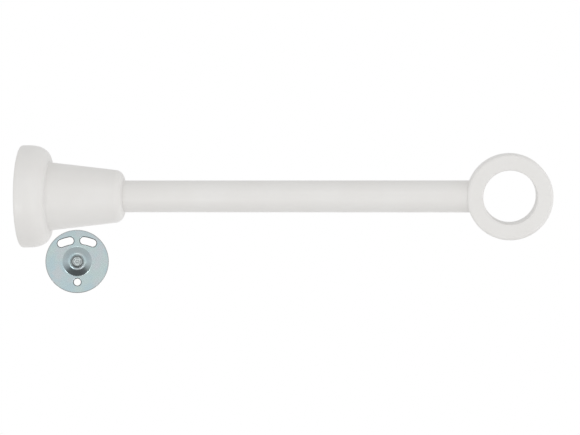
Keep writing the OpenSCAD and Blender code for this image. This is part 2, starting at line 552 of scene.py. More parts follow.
@dataclass(frozen=True)
class Finish:
    """A procedural finish on one piece: each kind says what goes into the shader."""

    lay: Lay

    def make(self, effects: EffectLibrary, name: str) -> Material:
        """Builds the material.

        Args:
            effects: the shared node groups.
            name: the material's name.

        Returns:
            The material.
        """
        material = bpy.data.materials.new(name)
        graph = Graph.of(material)
        looks = self.looks(graph, effects, self.lay.coordinates(graph))
        shader = graph.add("BsdfPrincipled", looks)
        graph.add("OutputMaterial", {"Surface": shader.outputs[0]})
        return material

    def looks(self, graph: Graph, effects: EffectLibrary, here: Socket) -> dict[str, Value]:
        """The shader's inputs, by name, with the pattern's coordinates given."""
        raise NotImplementedError


@dataclass(frozen=True)
class WhiteLacquer(Finish):
    """Satin white lacquer, sprayed over sanded beech."""

    paint: Triple = (0.800, 0.790, 0.772)
    thin_paint: Triple = (0.782, 0.768, 0.748)
    clouds: Patches = Patches(0.045, 4.0)
    figure_scale: float = 0.5
    fleck_scale: float = 2.2
    fleck_share: float = 0.35
    nib_scale: float = 1.1
    nib_band: Corner = (0.76, 0.82)
    spray_scale: float = 0.8
    gloss: Corner = (0.36, 0.46)
    relief: float = 0.02 * MM
    coat: float = 0.3
    coat_loss: float = 0.4

    def looks(self, graph: Graph, effects: EffectLibrary, here: Socket) -> dict[str, Value]:
        """Thinner paint over the flecks, a sprayed texture and a satin coat."""
        cloud = self.clouds.mask(graph, effects, here)
        fibres = graph.group(effects.fibres, {
            "Vector": here, "Figure Scale": self.figure_scale, "Fleck Scale": self.fleck_scale})
        thin = graph.math("MULTIPLY", fibres.outputs["Flecks"], self.fleck_share)
        nibs = graph.band(graph.noise(here, self.nib_scale, 1.0), *self.nib_band)
        spray = graph.noise(here, self.spray_scale, 2.0)
        height = graph.total((fibres.outputs["Figure"], 0.35), (spray, 0.5), (nibs, 0.6))
        worn_coat = graph.math("MULTIPLY", thin, self.coat_loss)
        return {
            "Base Color": graph.mix(thin, graph.mix(cloud, self.paint, self.thin_paint),
                                    self.thin_paint),
            "Roughness": graph.band(cloud, 0.0, 1.0, self.gloss),
            "Normal": graph.bump(height, self.relief, 0.7),
            "Coat Weight": graph.math("SUBTRACT", self.coat, worn_coat),
            "Coat Roughness": 0.3,
            "IOR": 1.46,
        }


@dataclass(frozen=True)
class BareBeech(Finish):
    """Bare steamed beech, with a little white spray on it near its painted edge."""

    overspray: bool = False
    pale: Triple = (0.66, 0.49, 0.33)
    dark: Triple = (0.50, 0.33, 0.20)
    fleck: Triple = (0.30, 0.17, 0.09)
    paint: Triple = (0.78, 0.77, 0.75)
    figure_scale: float = 0.6
    fleck_scale: float = 1.7
    fleck_share: float = 0.7
    pore_scale: float = 3.0
    gloss: Corner = (0.62, 0.5)
    relief: float = 0.06 * MM
    spray_scale: float = 0.7
    spray_reach: Corner = (1.5, 5.9)
    spray_wander: float = 3.0

    def looks(self, graph: Graph, effects: EffectLibrary, here: Socket) -> dict[str, Value]:
        """Figure and flecks, with spray on them where there is overspray."""
        fibres = graph.group(effects.fibres, {
            "Vector": here, "Figure Scale": self.figure_scale, "Fleck Scale": self.fleck_scale})
        figure = fibres.outputs["Figure"]
        flecks = graph.math("MULTIPLY", fibres.outputs["Flecks"], self.fleck_share)
        colour = graph.mix(flecks, graph.mix(figure, self.dark, self.pale), self.fleck)
        if self.overspray:
            colour = graph.mix(self._spray(graph), colour, self.paint)
        height = graph.total((figure, 0.6), (graph.noise(here, self.pore_scale), 0.4))
        return {
            "Base Color": colour,
            "Roughness": graph.band(figure, 0.0, 1.0, self.gloss),
            "Normal": graph.bump(height, self.relief),
        }

    def _spray(self, graph: Graph) -> Socket:
        """Where spray from the painted face has reached, as a mask."""
        place = Lay().coordinates(graph)
        depth = graph.add("SeparateXYZ", {0: place}).outputs["X"]
        wander = graph.math("MULTIPLY", graph.noise(place, self.spray_scale, 4.0),
                            self.spray_wander)
        return graph.band(graph.math("ADD", depth, wander), *self.spray_reach, (1.0, 0.0))


@dataclass(frozen=True)
class TurnedBrass(Finish):
    """Machined brass with tool rings and a light tarnish."""

    bright: Triple = (0.80, 0.62, 0.30)
    tarnish: Triple = (0.68, 0.50, 0.24)
    tarnished: Patches = Patches(0.5, 4.0, 0.52, 0.3)
    ring_width: float = 0.22
    ring_wander: float = 0.05
    gloss: Corner = (0.28, 0.42)
    relief: float = 0.008 * MM

    def looks(self, graph: Graph, effects: EffectLibrary, here: Socket) -> dict[str, Value]:
        """Tool rings, and patches of tarnish."""
        patches = self.tarnished.mask(graph, effects, here)
        rings = graph.group(effects.turning, {
            "Vector": here, "Ring Width": self.ring_width, "Wander": self.ring_wander})
        return {
            "Base Color": graph.mix(patches, self.bright, self.tarnish),
            "Roughness": graph.band(patches, 0.0, 1.0, self.gloss),
            "Metallic": 1.0,
            "Normal": graph.bump(rings.outputs["Rings"], self.relief),
        }


@dataclass(frozen=True)
class ZincSheet(Finish):
    """Cold-rolled steel sheet, zinc plated with a pale blue passivation.

    The radii are in millimetres: where the rim's grey, a painted shade line, starts and is full, and
    the same for the start and the end of the dome's darker slope.
    """

    blue: Triple = (0.520, 0.660, 0.705)
    green: Triple = (0.565, 0.685, 0.680)
    lilac: Triple = (0.600, 0.660, 0.685)
    grey: Triple = (0.415, 0.45, 0.46)
    # grey for the painted shade line just inside the rim
    edge: Triple = (0.42, 0.435, 0.44)
    # a darker, bluer tone laid all round the dome's slope
    drawn: Triple = (0.40, 0.465, 0.49)
    greenish: Patches = Patches(0.11, 3.0, 0.5, 0.12)
    lilac_ones: Patches = Patches(0.13, 4.0, 0.56, 0.1)
    lilac_shift: Triple = (37.0, 11.0, 5.0)
    crystal_scale: float = 1.3
    crystal_band: Corner = (0.3, 0.7)
    crystal_share: float = 0.22
    rim_shade_radii: Corner = (17.35, 17.75)
    rim_shade_share: float = 0.9
    slope_from: Corner = (5.0, 5.5)
    slope_to: Corner = (8.0, 8.6)
    slope_share: float = 0.6
    scratch_scale: float = 0.9
    scratch_amount: float = 0.6
    wave_scale: float = 0.35
    gloss: Corner = (0.25, 0.38)
    relief: float = 0.06 * MM

    def looks(self, graph: Graph, effects: EffectLibrary, here: Socket) -> dict[str, Value]:
        """Tints over a softly waved sheet, with fine scratches."""
        crystals = graph.noise(here, self.crystal_scale, 5.0)
        lines = graph.group(effects.scratches, {
            "Vector": here, "Scale": self.scratch_scale,
            "Amount": self.scratch_amount}).outputs["Mask"]
        height = graph.total((graph.noise(here, self.wave_scale), 1.0), (crystals, 0.1),
                             (lines, -0.08))
        sheen = graph.total((crystals, 0.6), (lines, 0.4))
        return {
            "Base Color": self._colour(graph, effects, here, crystals),
            "Roughness": graph.band(sheen, 0.1, 0.8, self.gloss),
            "Metallic": 1.0,
            "Normal": graph.bump(height, self.relief),
        }

    def _colour(
        self, graph: Graph, effects: EffectLibrary, here: Socket, crystals: Socket
    ) -> Socket:
        """The passivation's tints, greyer in its crystals, darker and bluer on the dome's slope, and
        with a painted shade line at the rim.
        """
        shifted = graph.add("VectorMath", {0: here, 1: self.lilac_shift}, operation="ADD").outputs[0]
        tint = graph.mix(self.greenish.mask(graph, effects, here), self.blue, self.green)
        tint = graph.mix(self.lilac_ones.mask(graph, effects, shifted), tint, self.lilac)
        dull = graph.band(crystals, *self.crystal_band, (0.0, self.crystal_share))
        tint = graph.mix(dull, tint, self.grey)
        radius = graph.group(effects.turning, {"Vector": here}).outputs["Radius"]
        # painted shade: a grey line laid just inside the rim
        tint = graph.mix(graph.band(radius, *self.rim_shade_radii, (0.0, self.rim_shade_share)), tint, self.edge)
        # darker and bluer all round the dome's slope
        slope = graph.math("MULTIPLY", graph.band(radius, *self.slope_from),
                           graph.band(radius, *self.slope_to, (self.slope_share, 0.0)))
        return graph.mix(slope, tint, self.drawn)


@dataclass(frozen=True)
class ShadedPunchedEdge(Finish):
    """The sheared edge of a slot or hole: duller than the plated face, and darkened nearly to black as
    painted shade in the walls and on their rolled edges.
    """

    # both tones are near black: painted shade on the punched walls and rolled edges
    smooth: Triple = (0.15, 0.16, 0.165)
    torn: Triple = (0.06, 0.065, 0.07)
    tears: Patches = Patches(3.0, 3.0)
    tear_stretch: Triple = (1.0, 1.0, 0.2)
    gloss: Corner = (0.34, 0.55)
    relief: float = 0.02 * MM

    def looks(self, graph: Graph, effects: EffectLibrary, here: Socket) -> dict[str, Value]:
        """Smooth and torn patches, drawn out through the sheet."""
        drawn = graph.stretch(here, self.tear_stretch)
        torn = self.tears.mask(graph, effects, drawn)
        return {
            "Base Color": graph.mix(torn, self.smooth, self.torn),
            "Roughness": graph.band(torn, 0.0, 1.0, self.gloss),
            "Metallic": 1.0,
            "Normal": graph.bump(torn, self.relief),
        }


@dataclass(frozen=True)
class ZincStud(Finish):
    """A zinc-plated machine screw, with painted shade on its thread and round its cut end.

    The cut face's radius and the head's height are in millimetres, as where each starts to end and
    where it has ended.
    """

    bright: Triple = (0.66, 0.72, 0.72)
    worn: Triple = (0.30, 0.335, 0.34)
    # painted shade colour for the thread and the ring round the cut end
    painted_shade_colour: Triple = (0.055, 0.06, 0.063)
    smears: Patches = Patches(0.8, 3.0)
    face_r: Corner = (2.62, 2.8)
    head_h: Corner = (5.3, 5.5)
    painted_shade_share: float = 0.92
    ring_width: float = 1.25
    ring_wander: float = 1.5
    gloss: Corner = (0.28, 0.42)
    relief: float = 0.05 * MM

    def looks(self, graph: Graph, effects: EffectLibrary, here: Socket) -> dict[str, Value]:
        """Turning marks on a bright end, smears, and painted shade on the thread."""
        turning = graph.group(effects.turning, {
            "Vector": here, "Ring Width": self.ring_width, "Wander": self.ring_wander}).outputs
        height = graph.add("SeparateXYZ", {0: here}).outputs["Z"]
        past_head = graph.band(height, *self.head_h)
        # painted shade: the thread and shoulder outside the cut face are darkened to stand in for their
        # shadow and dark reflection
        painted_shade = graph.math("MULTIPLY", graph.band(turning["Radius"], *self.face_r), past_head)
        swirl = graph.math("MULTIPLY", turning["Rings"], past_head)
        smear = self.smears.mask(graph, effects, here)
        colour = graph.mix(graph.total((smear, 0.2), (swirl, 0.8)), self.bright, self.worn)
        painted_shade = graph.math("MULTIPLY", painted_shade, self.painted_shade_share)
        return {
            "Base Color": graph.mix(painted_shade, colour, self.painted_shade_colour),
            "Roughness": graph.band(smear, 0.0, 1.0, self.gloss),
            "Metallic": 1.0,
            "Normal": graph.bump(swirl, self.relief),
        }


# ---------------------------------------------------------------- pieces


@dataclass(frozen=True)
class Tag:
    """What a piece is called, which solid it stands for, and what it rides on."""

    name: str
    node: str
    body: Body
    slot: SlotName


def furnish(
    bm: BMesh, tag: Tag, place: Matrix, materials: Sequence[Material],
    sharp_deg: float = 38.0,
) -> bpy.types.Object:
    """Makes the finished object of a piece.

    The plate and its stud throw no shade and no bounced light on the bracket, and only the stud
    shows in reflections.

    Args:
        bm: the mesh in the maker's own frame; it is freed.
        tag: the piece's name, solid, body and slot.
        place: from the maker's frame to the object's frame.
        materials: the piece's materials, in the order of the faces' material numbers.
        sharp_deg: edges that turn more than this stay sharp.

    Returns:
        The object.
    """
    bmesh.ops.transform(bm, matrix=place, verts=bm.verts)
    for face in bm.faces:
        face.smooth = True
    mesh = new_mesh(tag.name, bm)
    mesh.set_sharp_from_angle(angle=math.radians(sharp_deg))
    for material in materials:
        mesh.materials.append(material)
    piece = link_object(tag.name, mesh)
    shading = piece.modifiers.new("even_shading", "WEIGHTED_NORMAL")
    shading.keep_sharp, shading.weight = True, LARGE_FACES_FIRST
    if tag.body is Body.LOOSE_PLATE:
        piece.visible_diffuse = piece.visible_shadow = False
    piece.visible_glossy = tag.slot is SlotName.STUD
    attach(piece, tag.body.value)
    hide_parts(tag.node)
    LOG.info("%s: %d faces", tag.name, len(mesh.polygons))
    return piece


ALONG_STEM = Matrix.Rotation(math.pi / 2, 4, "Y")


@dataclass
class TurnedBase:
    """The rosette against the wall and the socket cone that stands on it."""

    rim_r: float = 29.0 * MM
    thick: float = 16.0 * MM
    rim_w: float = 4.0 * MM
    land_r: float = 21.2 * MM
    fullness: float = 2.35
    hollow_r: float = 19.25 * MM
    hollow_depth: float = 6.0 * MM
    socket_r: float = 9.05 * MM
    cone_foot_r: float = 19.4 * MM
    cone_tip_r: float = 14.4 * MM
    cone_end: float = 58.5 * MM
    tip_round: float = 5.0 * MM
    stem_r: float = 9.0 * MM
    front_steps: int = 20
    bead: float = 0.7 * MM
    bead_steps: int = 5
    back_round: float = 1.2 * MM
    lip_round: float = 0.5 * MM
    floor_round: float = 0.6 * MM
    socket_round: float = 0.3 * MM
    lip_w: float = 0.3 * MM
    glue_gap: float = 0.05 * MM

    def build(self, effects: EffectLibrary) -> None:
        """Makes both pieces."""
        paint = WhiteLacquer(Grain.UPRIGHT.value).make(effects, "lacquer_on_rosette")
        bare = BareBeech(Grain.UPRIGHT.value, overspray=True).make(effects, "bare_hollow")
        self._rosette(paint, bare)
        self._cone(WhiteLacquer(Grain.ALONG_STEM.value).make(effects, "lacquer_on_cone"))

    def _front(self) -> list[Corner]:
        """The full, rounded front from the rim to the land round the cone."""
        points = []
        for step in range(self.front_steps + 1):
            angle = math.pi / 2 * step / self.front_steps
            reach = max(math.cos(angle), 0.0) ** (2 / self.fullness)
            rise = math.sin(angle) ** (2 / self.fullness)
            points.append((self.land_r + (self.rim_r - self.land_r) * reach,
                           self.rim_w + (self.thick - self.rim_w) * rise))
        return points

    def _bead(self) -> list[Corner]:
        """The hollow curve of lacquer that fills the corner at the cone's foot."""
        taper = (self.cone_foot_r - self.cone_tip_r) / (self.cone_end - self.thick)
        points = []
        for step in range(self.bead_steps + 1):
            angle = math.pi / 2 * step / self.bead_steps
            out = self.bead * (1 - math.sin(angle))
            rise = self.bead * (1 - math.cos(angle))
            points.append((self.cone_foot_r - taper * rise + out, self.thick + rise))
        return points

    def _rosette(self, paint: Material, bare: Material) -> None:
        """Turns the rosette, painted outside and bare in its hollow."""
        section = [(self.socket_r, self.hollow_depth), (self.hollow_r, self.hollow_depth),
                   (self.hollow_r, 0.0), (self.rim_r, 0.0), *self._front(),
                   (self.socket_r, self.thick)]
        bm = lathe(section, 160)
        ease_edges(bm, (
            Ease(self.rim_r, 0.0, self.back_round),
            Ease(self.hollow_r, 0.0, self.lip_round, 4),
            Ease(self.hollow_r, self.hollow_depth, self.floor_round, 4),
            Ease(self.socket_r, self.hollow_depth, self.socket_round, 3),
        ))
        inside_r = self.hollow_r + self.lip_w
        for face in bm.faces:
            middle = face.calc_center_median()
            in_hollow = math.hypot(middle.x, middle.y) < inside_r
            face.material_index = int(in_hollow and middle.z < self.hollow_depth + 1 * MM)
        tag = Tag("rosette", "base_rosette", Body.BRACKET, SlotName.LACQUER)
        furnish(bm, tag, ALONG_STEM, (paint, bare))

    def _cone(self, paint: Material) -> None:
        """Turns the cone that holds the stem."""
        fit_r = self.stem_r - self.glue_gap
        section = [(fit_r, self.thick), *self._bead(),
                   (self.cone_tip_r, self.cone_end), (fit_r, self.cone_end)]
        bm = lathe(section, 128)
        ease_edges(bm, (Ease(self.cone_tip_r, self.cone_end, self.tip_round, 12),))
        tag = Tag("socket_cone_turned", "socket_cone", Body.BRACKET, SlotName.LACQUER)
        furnish(bm, tag, ALONG_STEM, (paint,))


@dataclass
class Stem:
    """The round stem, bored for its insert and dowel, and coped to the ring."""

    radius: float = 9.0 * MM
    start: float = 6.0 * MM
    insert_r: float = 5.05 * MM
    insert_end: float = 19.05 * MM
    flange_r: float = 6.3 * MM
    flange_end: float = 7.0 * MM
    dowel_r: float = 4.05 * MM
    dowel_start: float = 234.95 * MM
    ring_r: float = 24.0 * MM
    ring_x: float = 276.0 * MM
    open_end: float = 250.0 * MM
    end_round: float = 0.4 * MM

    def build(self, effects: EffectLibrary) -> None:
        """Makes the stem."""
        section = [(0.0, self.insert_end), (self.insert_r, self.insert_end),
                   (self.insert_r, self.flange_end), (self.flange_r, self.flange_end),
                   (self.flange_r, self.start), (self.radius, self.start),
                   (self.radius, self.open_end)]
        bm = bmesh.new()
        turn_on(bm, section, 128)
        self._cope(bm)
        bmesh.ops.recalc_face_normals(bm, faces=bm.faces)
        ease_edges(bm, (Ease(self.radius, self.start, self.end_round, 3),))
        for face in bm.faces:
            face.material_index = int(face.calc_center_median().z < self.insert_end + NEAR)
        paint = WhiteLacquer(Grain.ALONG_STEM.value).make(effects, "lacquer_on_stem")
        bare = BareBeech(Grain.ALONG_STEM.value).make(effects, "bare_stem_end")
        tag = Tag("stem_rod", "stem", Body.BRACKET, SlotName.LACQUER)
        furnish(bm, tag, ALONG_STEM, (paint, bare))

    def _cope(self, bm: BMesh) -> None:
        """Carries the open end on to the ring's round back, and bores it for the dowel."""
        edges = open_edges(bm, self.open_end)
        for radius in (self.radius, self.dowel_r):
            edges, verts = extrude_loop(bm, edges)
            for vert in verts:
                aside = vert.co.to_2d().normalized() * radius
                deep = math.sqrt(self.ring_r ** 2 - aside.x ** 2)
                vert.co = (aside.x, aside.y, self.ring_x - deep)
        edges, verts = extrude_loop(bm, edges)
        for vert in verts:
            vert.co.z = self.dowel_start
        bmesh.ops.edgeloop_fill(bm, edges=edges)


@dataclass
class PoleRing:
    """The thick ring that holds the pole, and the hidden dowel that ties it to the stem."""

    centre_x: float = 276.0 * MM
    bore_r: float = 15.0 * MM
    outer_r: float = 24.0 * MM
    half_thick: float = 10.0 * MM
    outer_round: float = 1.6 * MM
    bore_round: float = 0.8 * MM
    dowel_r: float = 4.0 * MM
    dowel_from: float = 235.0 * MM
    dowel_to: float = 259.0 * MM
    drill_from: float = 245.0 * MM
    glue_gap: float = 0.05 * MM
    dowel_chamfer: float = 1.0 * MM
    flutes: int = 24
    per_flute: int = 4
    flute_share: float = 0.945

    def build(self, effects: EffectLibrary) -> None:
        """Makes the ring and the dowel."""
        self._ring(WhiteLacquer(Grain.UPRIGHT.value).make(effects, "lacquer_on_ring"))
        self._dowel(BareBeech(Grain.ALONG_STEM.value).make(effects, "bare_dowel"))

    def _ring(self, paint: Material) -> None:
        """Turns the ring, eases its edges and bores it for the dowel."""
        half = self.half_thick
        bm = lathe([(self.bore_r, -half), (self.outer_r, -half), (self.outer_r, half),
                    (self.bore_r, half)], 180)
        ease_edges(bm, [Ease(self.outer_r, side * half, self.outer_round, 8) for side in (-1, 1)])
        ease_edges(bm, [Ease(self.bore_r, side * half, self.bore_round, 6) for side in (-1, 1)])
        place = Matrix.Translation((self.centre_x, 0, 0)) @ Matrix.Rotation(-math.pi / 2, 4, "X")
        drill = rod(self.dowel_r + self.glue_gap, self.dowel_to - self.drill_from + self.glue_gap)
        into = Matrix.Translation((self.drill_from, 0, 0)) @ ALONG_STEM
        bmesh.ops.transform(drill, matrix=place.inverted() @ into, verts=drill.verts)
        tag = Tag("pole_ring", "ring", Body.BRACKET, SlotName.LACQUER)
        furnish(carve(bm, (drill,)), tag, place, (paint,))

    def _dowel(self, bare: Material) -> None:
        """Makes the fluted dowel."""
        length = self.dowel_to - self.dowel_from
        bm = rod(self.dowel_r, length, self.flutes * self.per_flute)
        for end in (0.0, length):
            bevel(bm, rim_edges(bm, self.dowel_r, end), self.dowel_chamfer, 1)
        for vert in bm.verts:
            turn = math.atan2(vert.co.y, vert.co.x) / math.tau * self.flutes * self.per_flute
            if round(turn) % self.per_flute == 0:
                vert.co.xy = vert.co.xy * self.flute_share
        tag = Tag("fluted_dowel", "ring_dowel", Body.BRACKET, SlotName.BEECH)
        place = Matrix.Translation((self.dowel_from, 0, 0)) @ ALONG_STEM
        furnish(bm, tag, place, (bare,), sharp_deg=30.0)


@dataclass
class Insert:
    """The flanged threaded insert in the stem's wall end, with a hexagon for its key."""

    start: float = 6.0 * MM
    length: float = 13.0 * MM
    flange_r: float = 6.25 * MM
    flange_t: float = 1.0 * MM
    barrel_r: float = 5.0 * MM
    key_flat: float = 3.05 * MM
    key_depth: float = 3.2 * MM
    lead_in: float = 0.3 * MM
    thread_gap: float = 0.02 * MM
    flange_chamfer: float = 0.2 * MM
    end_chamfer: float = 0.6 * MM
    thread: Thread = Thread(3.0 * MM, 2.5 * MM)

    def build(self, effects: EffectLibrary) -> None:
        """Makes the insert."""
        bm = self.thread.shell(self.key_depth, self.length)
        ledge = self.key_depth - self.lead_in
        clear_r = self.thread.crest_r + self.thread_gap
        turn_on(bm, ((clear_r, self.key_depth), (clear_r, ledge)))
        close_gap(bm, self.key_depth)
        hexagon = self._hexagon(bm, ledge)
        close_gap(bm, ledge)
        for vert in extrude_loop(bm, hexagon)[1]:
            vert.co.z = 0.0
        turn_on(bm, (
            (self.flange_r - self.flange_chamfer, 0.0), (self.flange_r, self.flange_chamfer),
            (self.flange_r, self.flange_t), (self.barrel_r, self.flange_t),
            (self.barrel_r, self.length - self.end_chamfer),
            (self.barrel_r - self.end_chamfer, self.length)))
        close_gap(bm, 0.0)
        close_gap(bm, self.length)
        bmesh.ops.recalc_face_normals(bm, faces=bm.faces)
        place = Matrix.Translation((self.start, 0, 0)) @ ALONG_STEM
        brass = TurnedBrass(Lay.of(place)).make(effects, "turned_brass")
        tag = Tag("stem_insert", "threaded_insert", Body.BRACKET, SlotName.BRASS)
        furnish(bm, tag, place, (brass,), sharp_deg=30.0)

    def _hexagon(self, bm: BMesh, z: float) -> list[BMEdge]:
        """Draws the key's hexagon as a loop of edges at one height."""
        ring = bmesh.ops.create_circle(
            bm, cap_ends=False, segments=96, radius=self.key_flat,
            matrix=Matrix.Translation((0, 0, z)))["verts"]
        for vert in ring:
            angle = math.atan2(vert.co.y, vert.co.x) % (math.tau / 6) - math.tau / 12
            vert.co.xy = vert.co.xy / math.cos(angle)
        return list(dict.fromkeys(edge for vert in ring for edge in vert.link_edges))


@dataclass
class LoosePlate:
    """The wall plate with its pressed dome, and the stud that is seated in it."""

    rim_r: float = 18.0 * MM
    sheet: float = 1.5 * MM
    dome_h: float = 3.6 * MM
    dome_top_r: float = 4.7 * MM
    foot_round: float = 1.1 * MM
    top_round: float = 1.2 * MM
    rim_round: float = 0.3 * MM
    hollow_round: float = 0.5 * MM
    small_round: float = 0.12 * MM
    punch_from: float = -1.0 * MM
    punch_l: float = 4.0 * MM
    coplanar: float = math.radians(0.4)
    flat_margin: Corner = (1.0 * MM, 0.1 * MM)
    screw_drop: float = 11.8 * MM
    screw_r: float = 2.0 * MM
    slot_swing: float = 23.9 * MM
    slot_half_w: float = 2.1 * MM
    slot_at_deg: float = 15.7
    slot_sweep_deg: float = 12.6
    rolled_edge: float = 0.6 * MM
    burr_tilt: float = math.radians(20.0)
    shoulder_r: float = 3.5 * MM
    shoulder_h: float = 0.3 * MM
    stud_l: float = 10.0 * MM
    stud_mount_mm: float = 10.0
    stud_chamfer: float = 0.5 * MM
    stud_end_mm: tuple[Corner, ...] = (
        (2.38, 0.0), (2.2, 0.0), (1.9, 0.1), (1.1, 0.16), (0.7, 0.08), (0.0, 0.06))
    head_r: float = 5.7 * MM
    head_rim: float = 0.4 * MM
    cross_r: float = 3.1 * MM
    cross_half_w: float = 0.6 * MM
    cross_depth: float = 2.4 * MM
    cross_over: float = 0.2 * MM
    cross_taper: float = 0.5
    head_chamfer: float = 0.15 * MM
    shoulder_chamfer: float = 0.1 * MM
    thread_gap: float = 0.03 * MM
    thread: Thread = Thread(2.97 * MM, 2.45 * MM)

    def build(self, effects: EffectLibrary) -> None:
        """Makes both pieces."""
        place = self._place()
        lay = Lay.of(place)
        sheet = ZincSheet(lay).make(effects, "zinc_sheet")
        punched = ShadedPunchedEdge(lay).make(effects, "punched_edge_painted_shade")
        stud = ZincStud(lay).make(effects, "zinc_stud_steel")
        furnish(self._disc(), Tag("plate_disc", "wall_plate", Body.LOOSE_PLATE, SlotName.SHEET),
                place, (sheet, punched), sharp_deg=50.0)
        furnish(self._stud(), Tag("plate_screw", "plate_stud", Body.LOOSE_PLATE, SlotName.STUD),
                place, (stud,), sharp_deg=32.0)

    def _place(self) -> Matrix:
        """The plate's own frame, stud along Z and slots towards Y, from the record's mounts."""
        mounts = {mount["name"]: mount for mount in frame["record"]["mounts"]}
        out = Vector(mounts["stud_end"]["axis"]).normalized()
        back = Vector(mounts["stud_end"]["pos_m"]) - out * self.stud_mount_mm * MM
        hole = Vector(mounts["plate_screw_hole"]["pos_m"]) - out * self.sheet / 2
        up = (back - hole).normalized()
        across = up.cross(out)
        turn = Matrix((across, up, out)).transposed().to_4x4()
        return Matrix.Translation(back) @ turn

    @property
    def dome_front(self) -> float:
        """Height of the dome's flat top."""
        return self.sheet + self.dome_h

    @property
    def hollow_r(self) -> float:
        """Radius of the hollow behind the dome, at the plate's back."""
        return self.dome_top_r + self.dome_h + self.sheet * (1 - math.sqrt(2))

    def _disc(self) -> BMesh:
        """Presses the dome, and punches the slots and the hole."""
        neck = self.hollow_r - self.shoulder_r
        bm = lathe([
            (self.shoulder_r, self.dome_front), (self.dome_top_r, self.dome_front),
            (self.dome_top_r + self.dome_h, self.sheet), (self.rim_r, self.sheet),
            (self.rim_r, 0.0), (self.hollow_r, 0.0), (self.shoulder_r, neck),
        ], 160)
        ease_edges(bm, (
            Ease(self.dome_top_r, self.dome_front, self.top_round, 6),
            Ease(self.dome_top_r + self.dome_h, self.sheet, self.foot_round, 8),
            Ease(self.rim_r, self.sheet, self.rim_round, 4),
            Ease(self.rim_r, 0.0, self.small_round, 2),
            Ease(self.hollow_r, 0.0, self.hollow_round, 4),
            Ease(self.shoulder_r, self.dome_front, self.small_round, 3),
        ))
        hole = rod(self.screw_r, self.punch_l, 72)
        bmesh.ops.translate(hole, vec=(0, -self.screw_drop, self.punch_from), verts=hole.verts)
        bm = carve(bm, (hole, self._slot(-1), self._slot(1)))
        low = [vert for vert in bm.verts if vert.co.z < self.sheet + NEAR]
        within = set(low)
        bmesh.ops.dissolve_limit(
            bm, angle_limit=self.coplanar, use_dissolve_boundaries=False, verts=low,
            edges=[edge for edge in bm.edges if within.issuperset(edge.verts)], delimit=set())
        edges = ((self.sheet, self.rolled_edge, 5), (0.0, self.small_round, 2))
        for height, width, segments in edges:
            bevel(bm, self._punched(bm, height), width, segments)
        bm.normal_update()
        for face in bm.faces:
            middle = face.calc_center_median()
            on_flat = self._on_flat(middle) and -NEAR < middle.z < self.sheet + NEAR
            # faces on the punched walls and rolled edges get the near-black edge finish, which is
            # painted shade
            face.material_index = int(on_flat and abs(face.normal.z) < math.cos(self.burr_tilt))
        for height in (0.0, self.sheet):
            flat = [face for face in bm.faces if abs(face.normal.z) > FLAT_COSINE
                    and all(abs(vert.co.z - height) < NEAR for vert in face.verts)]
            bmesh.ops.delete(bm, geom=flat, context="FACES")
            close_gap(bm, height)
        bmesh.ops.recalc_face_normals(bm, faces=bm.faces)
        return bm

    def _on_flat(self, point: Vector) -> bool:
        """True for a point over the flat of the sheet, clear of the dome and the rim."""
        inner = self.hollow_r + self.flat_margin[0]
        outer = self.rim_r - self.rim_round - self.flat_margin[1]
        return inner < math.hypot(point.x, point.y) < outer

    def _punched(self, bm: BMesh, z: float) -> list[BMEdge]:
        """The sharp edges of the slots and the hole at one face of the sheet."""
        return [edge for edge in bm.edges
                if len(edge.link_faces) == 2 and edge.calc_face_angle() > 1.0
                and all(abs(vert.co.z - z) < NEAR and self._on_flat(vert.co) for vert in edge.verts)]

    def _slot(self, side: int) -> BMesh:
        """The punch for one curved slot: an arc about the screw hole, with round ends."""
        bm = bmesh.new()
        hinge = Vector((0, -self.screw_drop, self.punch_from))
        middle = math.radians(90 - side * self.slot_at_deg)
        sweep = math.radians(self.slot_sweep_deg)
        ends = [hinge + self.slot_swing * Vector((math.cos(a), math.sin(a), 0))
                for a in (middle - sweep / 2, middle + sweep / 2)]
        outward = (ends[0] - hinge).normalized() * self.slot_half_w
        tip = bm.verts.new(ends[0] + outward)
        for centre, angle, steps in ((hinge, sweep, 20), (ends[1], math.pi, 18),
                                     (hinge, -sweep, 20), (ends[0], math.pi, 18)):
            spun = bmesh.ops.spin(bm, geom=[tip], cent=centre, axis=(0, 0, 1), angle=angle,
                                  steps=steps, use_merge=False, use_duplicate=False)
            tip = next(v for v in spun["geom_last"] if isinstance(v, BMVert))
        bmesh.ops.remove_doubles(bm, verts=bm.verts, dist=LOOSE_WELD)
        face = bmesh.ops.edgeloop_fill(bm, edges=bm.edges)["faces"]
        grown = bmesh.ops.extrude_face_region(bm, geom=face)["geom"]
        tops = [item for item in grown if isinstance(item, BMVert)]
        bmesh.ops.translate(bm, vec=(0, 0, self.punch_l), verts=tops)
        return bm

    def _stud(self) -> BMesh:
        """Makes the countersunk screw whose thread stands out of the dome."""
        neck = self.hollow_r - self.shoulder_r
        seat = self.hollow_r - self.head_r
        step = self.dome_front + self.shoulder_h
        end = self.dome_front + self.stud_l
        bm = self.thread.shell(step, end)
        for vert in bm.verts:
            allowed = self.thread.crest_r - max(vert.co.z - end + self.stud_chamfer, 0.0)
            reach = math.hypot(vert.co.x, vert.co.y)
            if reach > allowed:
                vert.co.xy = vert.co.xy * (allowed / reach)
        turn_on(bm, [(r * MM, end - drop * MM) for r, drop in self.stud_end_mm])
        head = seat - self.head_rim
        turn_on(bm, (
            (0.0, head), (self.head_r - self.head_chamfer, head),
            (self.head_r, head + self.head_chamfer), (self.head_r, seat), (self.shoulder_r, neck),
            (self.shoulder_r, step - self.shoulder_chamfer),
            (self.shoulder_r - self.shoulder_chamfer, step),
            (self.thread.crest_r + self.thread_gap, step)))
        close_gap(bm, step)
        close_gap(bm, end)
        bmesh.ops.recalc_face_normals(bm, faces=bm.faces)
        return carve(bm, (self._cross(head),))

